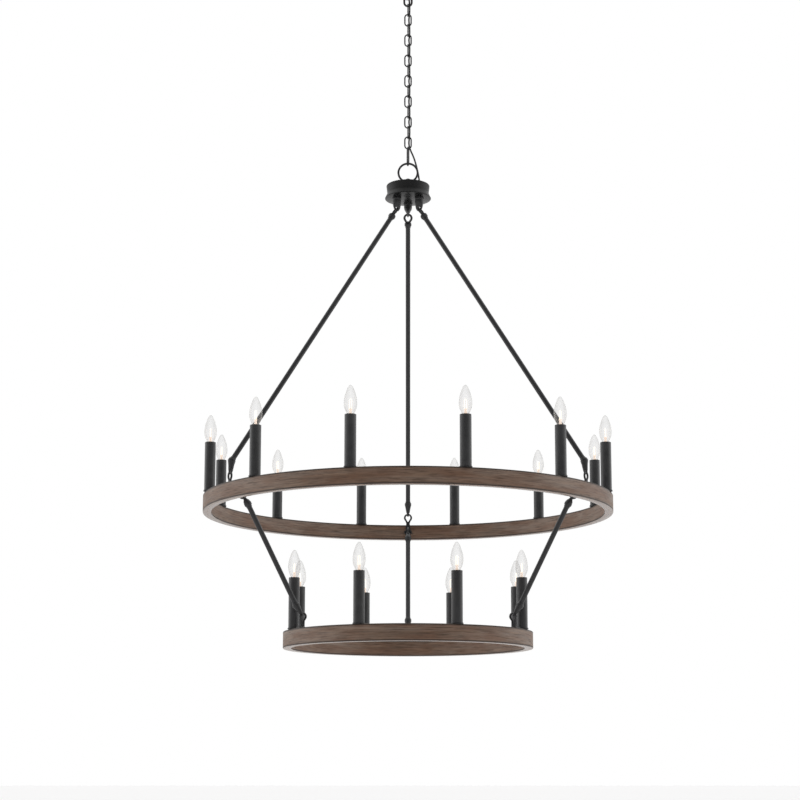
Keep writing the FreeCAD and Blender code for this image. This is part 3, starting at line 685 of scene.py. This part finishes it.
hubSizes = {
    "outer": [(0, -581), (55.2, -581), (57.2, -581.6), (58, -583.2), (57.5, -588), (56.4, -597),
              (55.8, -602.6), (56.2, -604.8), (57.8, -608.4), (60, -613), (61.3, -615.4), (61.7, -616.4),
              (61.7, -617)],
    "inner": [(60.2, -617), (56.6, -609), (54.4, -604), (55.2, -595), (56.2, -585), (55, -582.6),
              (0, -582.5)]}
s = hubSizes
hub = turnPiece("hubHousing", s["outer"] + s["inner"], 96)
cutAway(hub, cutter(4.5, 12, (*cordSizes["hole"], -581), (0, 0, 1)))
# the drum's near-black colour holds painted shade
settle(hub, "fixture", mattBlackPaintedShade, ["hub_housing"])

bushing = turnPiece("cordBushing", [
    (2.45, -586), (4.4, -586), (4.4, -581), (6.5, -581), (6.5, -579.9), (5.8, -579.1), (3.4, -579),
    (2.45, -579.6), (2.45, -586)], 32)
settle(putAt(bushing, (*cordSizes["hole"], 0)), "fixture", mouldedNylon, ["cord_bushing"])

plate = turnPiece("hubPlate", [
    (0, -617), (61, -617), (61.6, -617.2), (61.7, -617.7), (61.2, -618.2), (54, -619.4), (38.3, -621.1),
    (20, -622), (0, -622.2)], 96)
settle(plate, "fixture", glossBlack, ["hub_plate"])

# Lugs: a round boss under the plate, stepped in and thinned to a flat pointed tip with a hole across it
lugSizes = {"out": 34.5, "hole": 4.6, "holeZ": -649, "sections": [
    (0, 0, -618.4), (11.9, 11.9, -618.4), (11.9, 11.9, -624.2), (11.4, 11.4, -624.8), (11.1, 11.2, -626.4),
    (10.9, 11.3, -632), (9.8, 11.3, -637), (7, 11.1, -642), (4, 10.6, -646.6), (2.6, 9.6, -650),
    (2.3, 7.6, -653.6), (2, 5.2, -656.2), (1.6, 3, -657.3), (0, 0, -657.5)]}
s = lugSizes
lug = stackPiece("lugMaster", s["sections"], 32)
putAt(lug, (0, -s["out"], 0))
cutAway(lug, cutter(s["hole"], 30, (0, -s["out"], s["holeZ"]), (1, 0, 0)))
for side, angle in stations.items():
    settle(duplicate(lug, "hubLug" + side.title(), turn=angle), "fixture", satinBlack, ["hub_lug_" + side])
discard(lug)
print("hub done")

# Rods and their end fittings: a swelling collar with a step on the rod's side, then a pear-shaped wire eye at
# the hub, and at each bracket a lug that thins to a flat pointed tip with a hole for the bracket's loop
rodSizes = {"radius": 6.35, "wire": 2.6, "eyeWire": 3, "eye": 9.6, "collar": [
    (0, -8.6), (4.4, -8.6), (5.6, -7.2), (7.6, -5.6), (9, -4), (9.4, -2.4), (9.4, 2.4), (9, 3.6), (8, 4.4),
    (7.5, 4.8), (7.4, 5.4), (7.4, 8.2), (6.9, 9), (0, 9)]}
# half width, half thickness and height of the lug's sections: on from the collar, then past the hole's centre
tipSizes = {"hole": 3.1, "neck": [(0, 0, 0), (9.2, 9.2, 0), (9.2, 9, 3.4), (8.6, 8.4, 6), (7.8, 7.6, 9)],
            "tip": [(6.2, 4.9, -5), (5.6, 3.4, -1.8), (5.3, 2.9, 0), (4.9, 2.7, 2.6), (3.8, 2.4, 4.8),
                    (2.2, 1.8, 6.2), (0, 0, 6.7)]}
tangent, radial = (1, 0, 0), (0, -1, 0)
# bracket loops with their bend away from the strap: centre as distance out and height, bend radius, way of
# the legs, way across them, and the wire's runs
loopSets = {
    "upper": [{"centre": (509.52, -1414), "radius": 9.4, "legs": (0, 0, -1), "across": tangent,
               "runs": [(-3.2, 0, 4.4), (-2.2, 0, 6.4), (0, 0, 2)]},
              {"centre": (475, -1458.1), "radius": 9.4, "legs": (0, -1, 0), "across": (0, 0, 1),
               "runs": [(-3, 0, 4.8), (-1.8, 0, 5.2), (0, 0, 18)]}],
    "lower": [{"centre": (303.7, -1754), "radius": 8, "legs": (0, -0.08, -1), "across": radial,
               "runs": [(-2.2, 0, 3.6), (-1.9, 0, 4), (0, 0, 14)]}]}
# each rod's ends, as distance from the middle and height, and which way the eye or the lug is wide
rodEnds = {
    "upperRod": {"top": {"pin": (34.5, -650.7), "reach": 28, "across": tangent},
                 "bottom": {"loop": loopSets["upper"][0], "collar": (505.5, -1375.5), "across": radial}},
    "lowerRod": {"top": {"loop": loopSets["upper"][1], "collar": (459.5, -1481), "across": tangent},
                 "bottom": {"loop": loopSets["lower"][0], "collar": (323.5, -1727), "across": tangent}}}


def atStation(place):
    return Vector((0, -place[0], place[1]))


def eyeEnd(pin, collar, across):
    s = rodSizes
    eye = bendWire("eye", s["eyeWire"], s["eye"], 118, [(-3, 0, 5), (-2.6, 0, 6.4), (0, 0, 3)], bends=12)
    up = (collar - pin).normalized()
    return aim(eye, pin + up * s["eye"], up, across)


def lugEnd(loop, collar, across):
    # the loop's wire lies at the tip's side of the hole
    s = tipSizes
    centre = atStation(loop["centre"])
    holeAt = (centre - collar).length - loop["radius"] - (s["hole"] - rodSizes["wire"])
    sections = s["neck"] + [(wide, thin, holeAt + z) for wide, thin, z in s["tip"]]
    lug = stackPiece("lug", sections, 32)
    cutAway(lug, cutter(s["hole"], 30, (0, 0, holeAt), (0, 1, 0)))
    return aim(lug, collar, centre - collar, across)


for rodName, ends in rodEnds.items():
    s = rodSizes
    collars = {end: atStation(place["collar"]) for end, place in ends.items() if "collar" in place}
    if "top" not in collars:
        pin = atStation(ends["top"]["pin"])
        collars["top"] = pin + (collars["bottom"] - pin).normalized() * ends["top"]["reach"]
    along = (collars["bottom"] - collars["top"]).normalized()
    length = (collars["bottom"] - collars["top"]).length
    rod = turnPiece("rodMaster", [(0, 5), (s["radius"], 5), (s["radius"], length - 5), (0, length - 5)], 32)
    aim(rod, collars["top"], along)
    masters = {"": rod}
    for end, way in (("top", along), ("bottom", -along)):
        barrel = aim(turnPiece("barrel", s["collar"], 32), collars[end], way)
        if "pin" in ends[end]:
            hooked = eyeEnd(atStation(ends[end]["pin"]), collars[end], ends[end]["across"])
        else:
            hooked = lugEnd(ends[end]["loop"], collars[end], ends[end]["across"])
        masters[end] = join(end + "Master", [barrel, hooked])
    for end, master in masters.items():
        kind = "" if not end else end.title() + ("Eye" if "pin" in ends[end] else "Lug")
        node = rodName.replace("Rod", "_rod") + (f"_{end}_eye" if end else "")
        for side, angle in stations.items():
            rodPiece = duplicate(master, rodName + kind + side.title(), turn=angle)
            settle(rodPiece, "fixture", satinBlack, [f"{node}_{side}"])
    discard(*masters.values())
print("rods done")

# Ring brackets. The upper one is a narrow strap with eased edges on the ring's inner face, with an ear each
# side for a screw; the lower one is a small foot on the ring's top. Wire loops are welded to both
bracketSizes = {"face": 509.52, "thick": 3, "bottom": -1475, "top": -1425, "width": 13, "topWidth": 9,
                "footShare": 0.62, "ear": 22, "earLow": -1461.6, "earHigh": -1450.6}
footSizes = {"out": 309.5, "top": -1781, "size": (27, 17, 3), "corner": 5}


def bisectAt(piece, height):
    bpy.ops.mesh.select_all(action="SELECT")
    bpy.ops.mesh.bisect(plane_co=(0, 0, height), plane_no=(0, 0, 1))


def bracketStrap(s):
    strap = boxPiece("strap", (s["width"], s["thick"], s["top"] - s["bottom"]),
                     (0, -s["face"], (s["top"] + s["bottom"]) / 2))
    bpy.ops.object.mode_set(mode="EDIT")
    for height in (s["bottom"] + 5, s["earLow"], s["earHigh"], s["earHigh"] + 6):
        bisectAt(strap, height)
    for way in (1, -1):
        selectFaces(strap, lambda centre, normal: normal.x * way > 0.9
                    and s["earLow"] < centre.z < s["earHigh"])
        bpy.ops.mesh.extrude_region_move(
            TRANSFORM_OT_translate={"value": (way * (s["ear"] - s["width"]) / 2, 0, 0)})
    for end, narrowing in ((s["bottom"], s["footShare"]), (s["top"], s["topWidth"] / s["width"])):
        selectPoints(strap, lambda place: abs(place.z - end) < 0.1)
        bpy.ops.transform.resize(value=(narrowing, 1, 1), center_override=(0, -s["face"], end))
    # round the ears' corners
    roundCorners(strap, lambda a, b: abs(a.x - b.x) < 0.01 and abs(a.z - b.z) < 0.01
                 and abs(a.x) > s["ear"] / 2 - 0.1, 4, 5)
    return easeEdges(strap, 1.1)


def bracketFoot(s):
    foot = boxPiece("foot", s["size"], (0, -s["out"], s["top"] - s["size"][2] / 2))
    roundCorners(foot, lambda a, b: abs(a.z - b.z) > 1, s["corner"], 6)
    return easeEdges(foot, 0.8)


screwSizes = {"head": 3.1, "rise": 1.8, "shank": 1.7, "length": 12, "slot": (0.9, 4.6, 1.6), "spread": 7.6,
              "footSpread": 9.3}
face = -bracketSizes["face"] + bracketSizes["thick"] / 2
earMiddle = (bracketSizes["earLow"] + bracketSizes["earHigh"]) / 2
# each tier's plate, and where its screws stand: distance each side, place and the way that they point
tierParts = {"upper": (bracketStrap(bracketSizes), screwSizes["spread"], (0, face, earMiddle), (0, 1, 0)),
             "lower": (bracketFoot(footSizes), screwSizes["footSpread"],
                       (0, -footSizes["out"], footSizes["top"]), (0, 0, 1))}
for tier, (platePiece, spread, screwPlace, outward) in tierParts.items():
    parts = [platePiece]
    for loop in loopSets[tier]:
        wire = bendWire("loop", rodSizes["wire"], loop["radius"], 120, loop["runs"], bends=12)
        parts.append(aim(wire, atStation(loop["centre"]), loop["legs"], loop["across"]))
    bracket = join("bracketMaster", parts)
    s = screwSizes
    head, rise = s["head"], s["rise"]
    screw = turnPiece("screwMaster", [
        (0, rise), (head * 0.5, rise - 0.05), (head * 0.85, rise - 0.5), (head, rise - 1.3), (head, 0),
        (s["shank"], 0), (s["shank"], 2 - s["length"]), (0, -s["length"])], 24)
    wide, long, deep = s["slot"]
    cutAway(screw, boxPiece("slot", (wide, long, deep), (0, 0, rise)),
            boxPiece("slot", (long, wide, deep), (0, 0, rise)))
    aim(screw, screwPlace, outward)
    pair = join("pairMaster", [duplicate(screw, "screw", (way * spread, 0, 0)) for way in (1, -1)])
    screws = []
    for side, angle in stations.items():
        settle(duplicate(bracket, tier + "Bracket" + side.title(), turn=angle), "fixture", satinBlack,
               [f"{tier}_bracket_{side}"])
        screws.append(duplicate(pair, "screws", turn=angle))
    settle(join(tier + "BracketScrews", screws), "fixture", satinBlack, [f"{tier}_bracket_screws"])
    discard(bracket, screw, pair)
print("brackets done")

# Wood rings with eased edges, and the candles on them
ringSizes = {
    "upper": {"outer": 533.5, "inner": 511.5, "top": -1435, "height": 42, "count": 12, "candle": 127},
    "lower": {"outer": 322.7, "inner": 300.7, "top": -1784, "height": 42, "count": 8, "candle": 131}}
candleSizes = {"sleeve": 13.9, "wall": 1.6, "cup": 15.6, "cupHeight": 4, "socket": 9.4, "capRadius": 6,
               "capLength": 19, "seatBelow": 7}
# bulb outline above its seat, radius and height: a blunt-tipped torpedo
bulbOutline = [(6.2, 0), (6.4, 2), (7.4, 5.5), (8.9, 9.5), (11, 13.5), (12.9, 17.5), (14.6, 22.5), (15.7, 28),
               (16, 33.5), (15.8, 39), (15.1, 45), (14, 50.5), (12.6, 55.5), (11, 60.5), (9.3, 65.3),
               (7.4, 69.6), (5.6, 73), (3.9, 75.6), (2.2, 77.2), (0, 77.7)]
filamentSizes = {"wire": 0.9, "bend": 2.6, "top": 43, "foot": 19}


def woodRing(tier, s):
    # each corner of the section is eased, by three points
    ease = 1.1
    bend = ease * 0.3
    inner, outer, bottom, top = s["inner"], s["outer"], s["top"] - s["height"], s["top"]
    outline = [(inner + ease, bottom), (outer - ease, bottom), (outer - bend, bottom + bend),
               (outer, bottom + ease), (outer, top - ease), (outer - bend, top - bend), (outer - ease, top),
               (inner + ease, top), (inner + bend, top - bend), (inner, top - ease), (inner, bottom + ease),
               (inner + bend, bottom + bend)]
    wood = makeWood(f"weathered stained ash {tier} ring",
                    {"radius": outer, "middle": top - s["height"] / 2, "height": s["height"]}, woodLook)
    ring = turnPiece(tier + "Ring", outline + outline[:1], 192)
    return settle(ring, "fixture", wood, [tier + "_ring"])


def candlePieces(height):
    # one candle's pieces, standing on z = 0, each with its name, the node it stands for and its finish
    s = candleSizes
    bore, seat = s["sleeve"] - s["wall"], height - s["seatBelow"]
    capFoot = seat - s["capLength"]
    socketTop = capFoot + 14
    cup = turnPiece("cup", [
        (0, 0), (s["cup"] - 0.5, 0), (s["cup"], 0.5), (s["cup"], 2.6), (s["cup"] - 0.6, 3.6),
        (s["sleeve"] + 0.2, s["cupHeight"]), (0, s["cupHeight"])], 36)
    bpy.ops.object.mode_set(mode="EDIT")
    # crimps round the cup's side, every third facet pressed in
    selectFaces(cup, lambda centre, normal: abs(normal.z) < 0.2 and
                int(math.degrees(math.atan2(centre.y, centre.x)) % 360 // 10) % 3 == 0)
    bpy.ops.mesh.inset(thickness=0.25, depth=-0.5)
    bpy.ops.object.mode_set(mode="OBJECT")
    sleeve = turnPiece("sleeve", [
        (bore, s["cupHeight"]), (s["sleeve"], s["cupHeight"]), (s["sleeve"], height - 0.9),
        (s["sleeve"] - 0.25, height - 0.3), (s["sleeve"] - 0.8, height), (bore + 0.4, height - 0.15),
        (bore, height - 0.7), (bore, s["cupHeight"])], 40)
    socket = turnPiece("socket", [
        (0, s["cupHeight"]), (s["socket"], s["cupHeight"]), (s["socket"], socketTop - 0.8),
        (s["socket"] - 0.8, socketTop), (6.5, socketTop), (6.5, capFoot), (0, capFoot)], 32)
    ridges = thread(s["capRadius"], 0.5, 2.1, seat - 3, capFoot + 3.4)
    contact = [(0, capFoot + 0.3), (1.8, capFoot + 0.5), (2.4, capFoot + 1.4), (4.6, capFoot + 2.4)]
    neck = [(s["capRadius"], seat - 2.4), (s["capRadius"], seat), (0, seat)]
    cap = turnPiece("cap", contact + ridges + neck, 28)
    glass = turnPiece("glass", [(0, seat)] + [(radius, seat + z) for radius, z in bulbOutline], 32)
    # inside it: the glass mount, its two lead wires and the hairpin filament
    mount = turnPiece("mount", [(0, seat), (5.4, seat), (5.2, seat + 4), (4, seat + 9), (3, seat + 14),
                                (3.2, seat + 18), (4.4, seat + 20), (0, seat + 20.6)], 16)
    wire, bend = filamentSizes["wire"], filamentSizes["bend"]
    legs = filamentSizes["top"] - bend - filamentSizes["foot"]
    filament = bendWire("filament", wire, bend, 90, [(0, 0, legs)], bends=6, wireSides=8)
    aim(filament, (0, 0, seat + filamentSizes["top"] - bend), (0, 0, -1))
    return [("CandleCups", "candle_cups", cup, satinBlack),
            # the sleeves' lighter grey is painted light
            ("CandleSleeves", "candle_sleeves", sleeve, sleeveBlackPaintedLight),
            ("LampSockets", "lamp_sockets", socket, phenolic),
            ("BulbCaps", "bulb_caps", cap, brass),
            ("BulbGlasses", "bulb_glasses", glass, clearGlass),
            # the mount's glow is painted light from the filament
            ("BulbMounts", None, mount, mountPaintedGlow),
            ("BulbFilaments", None, filament, tungsten)]


for tier, s in ringSizes.items():
    woodRing(tier, s)
    out = (s["outer"] + s["inner"]) / 2
    angles = [360 * (i + 0.5) / s["count"] for i in range(s["count"])]
    for name, node, master, finish in candlePieces(s["candle"]):
        putAt(master, (0, -out, s["top"]))
        copies = [duplicate(master, "copy", turn=angle) for angle in angles]
        settle(join(tier + name, copies), "fixture", finish, [f"{tier}_{node}"] if node else [])
        discard(master)
print("rings and candles done")

# Plain pale floor, well below the fixture, and soft studio light
floorSizes = {"z": -4.6, "size": 400}
bpy.ops.object.select_all(action="DESELECT")
bpy.ops.mesh.primitive_plane_add(size=floorSizes["size"], location=(0, 0, floorSizes["z"]))
floor = bpy.context.object
floor.name = "floor"
material, tree = startMaterial("pale matt floor paint")
place = addNode(tree, "TexCoord").outputs["Object"]
mottle = addNode(tree, "TexNoise", {"Scale": 2, "Detail": 2}, {"Vector": place})
paint = addNode(tree, "ValToRGB", {"stops": [(0.3, hexColour("#f6f5f5")), (0.7, hexColour("#f8f8f8"))]},
                {"Fac": mottle.outputs["Fac"]})
shader = addNode(tree, "BsdfPrincipled", {"Roughness": 0.9}, {"Base Color": paint.outputs["Color"]})
addNode(tree, "OutputMaterial", links={"Surface": shader.outputs["BSDF"]})
floor.data.materials.append(material)

# a white tent that is dimmer on the viewer's side, so that round things are pale at their edges and dark in
# front; the camera sees it plain white
tent = {"front": 0.22, "frontFrom": -0.95, "frontTo": 0.1, "top": 1.35, "strength": 1.0}
world = bpy.data.worlds.new("studio")
bpy.context.scene.world = world
world.use_nodes = True
studio = world.node_tree
studio.nodes.clear()
toward = addNode(studio, "SeparateXYZ", links={"Vector": addNode(studio, "TexCoord").outputs["Generated"]})
side = addNode(studio, "MapRange", {"interpolation_type": "SMOOTHSTEP", "From Min": tent["frontFrom"],
                                    "From Max": tent["frontTo"], "To Min": tent["front"], "To Max": 1},
               {"Value": toward.outputs["Y"]})
lift = addNode(studio, "MapRange", {"From Min": 0, "From Max": 1, "To Min": 1, "To Max": tent["top"]},
               {"Value": toward.outputs["Z"]})
level = addNode(studio, "Math", {"operation": "MULTIPLY"},
                {0: side.outputs["Result"], 1: lift.outputs["Result"]})
light = addNode(studio, "Background", {"Color": (1, 1, 1, 1)}, {"Strength": level.outputs["Value"]})
seen = addNode(studio, "Background", {"Color": (1, 1, 1, 1), "Strength": tent["strength"]})
ray = addNode(studio, "LightPath")
mixed = addNode(studio, "MixShader", links={0: ray.outputs["Is Camera Ray"], 1: light.outputs["Background"],
                                            2: seen.outputs["Background"]})
addNode(studio, "OutputWorld", links={"Surface": mixed.outputs["Shader"]})

softboxes = {"left": {"place": (-3.4, 0.6, -0.8), "size": 1.8, "power": 12},
             "right": {"place": (3.4, 0.6, -0.8), "size": 1.8, "power": 10}}
for name, box in softboxes.items():
    bpy.ops.object.light_add(type="AREA", location=box["place"])
    lamp = bpy.context.object
    lamp.name = name
    lamp.data.size = box["size"]
    lamp.data.energy = box["power"]
    lamp.rotation_euler = (Vector((0, 0, -1.2)) - lamp.location).to_track_quat("-Z", "Y").to_euler()

bpy.context.scene.view_settings.view_transform = "Standard"

print("scene ready")
